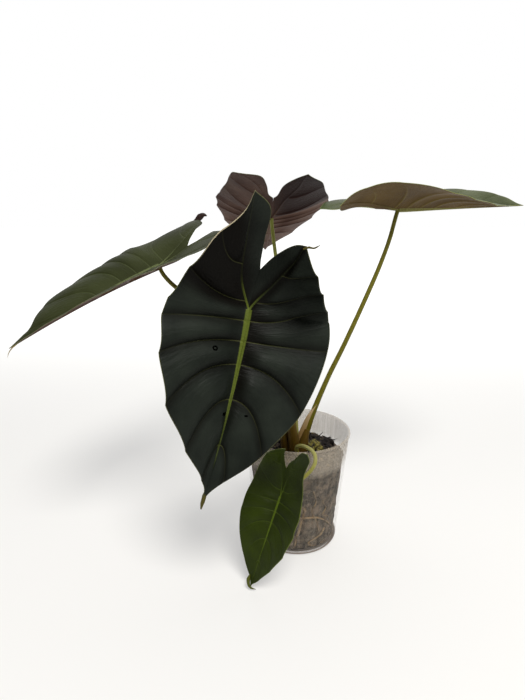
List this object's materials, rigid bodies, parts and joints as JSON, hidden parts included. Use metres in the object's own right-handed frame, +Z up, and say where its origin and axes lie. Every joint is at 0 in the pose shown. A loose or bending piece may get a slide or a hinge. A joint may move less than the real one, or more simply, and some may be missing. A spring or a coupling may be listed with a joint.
{
  "type": "potted alocasia plant",
  "caption": "Potted arrow-leaved aroid in a clear tapered nursery pot, with tall petioles, dark quilted blades, soil and roots.",
  "frame": {"origin": "centre of the pot's flat underside", "axes": "+Z up, +X to the viewer's right, towards the tip of the level leaf, -Y towards the front, where the hanging leaf is"},
  "size_m": [0.4732, 0.326, 0.3731],
  "materials": {
    "pot_plastic": "frosted translucent",
    "soil": "rough, damp bark and peat mix",
    "granules": "rough, porous",
    "root": "matte",
    "petiole": "satin",
    "blade_dark": "satin",
    "blade_green": "satin"
  },
  "bodies": {
    "root": {"pot": "pot_plastic", "soil": "soil", "pumice_granules": "granules", "corm_and_roots": "root", "petiole_front": "petiole", "petiole_small": "petiole", "petiole_back": "petiole", "petiole_left": "petiole", "petiole_right": "petiole", "blade_front": "blade_dark", "blade_small": "blade_green", "blade_back": "blade_dark", "blade_left": "blade_dark", "blade_right": "blade_dark"}
  },
  "joints": []
}
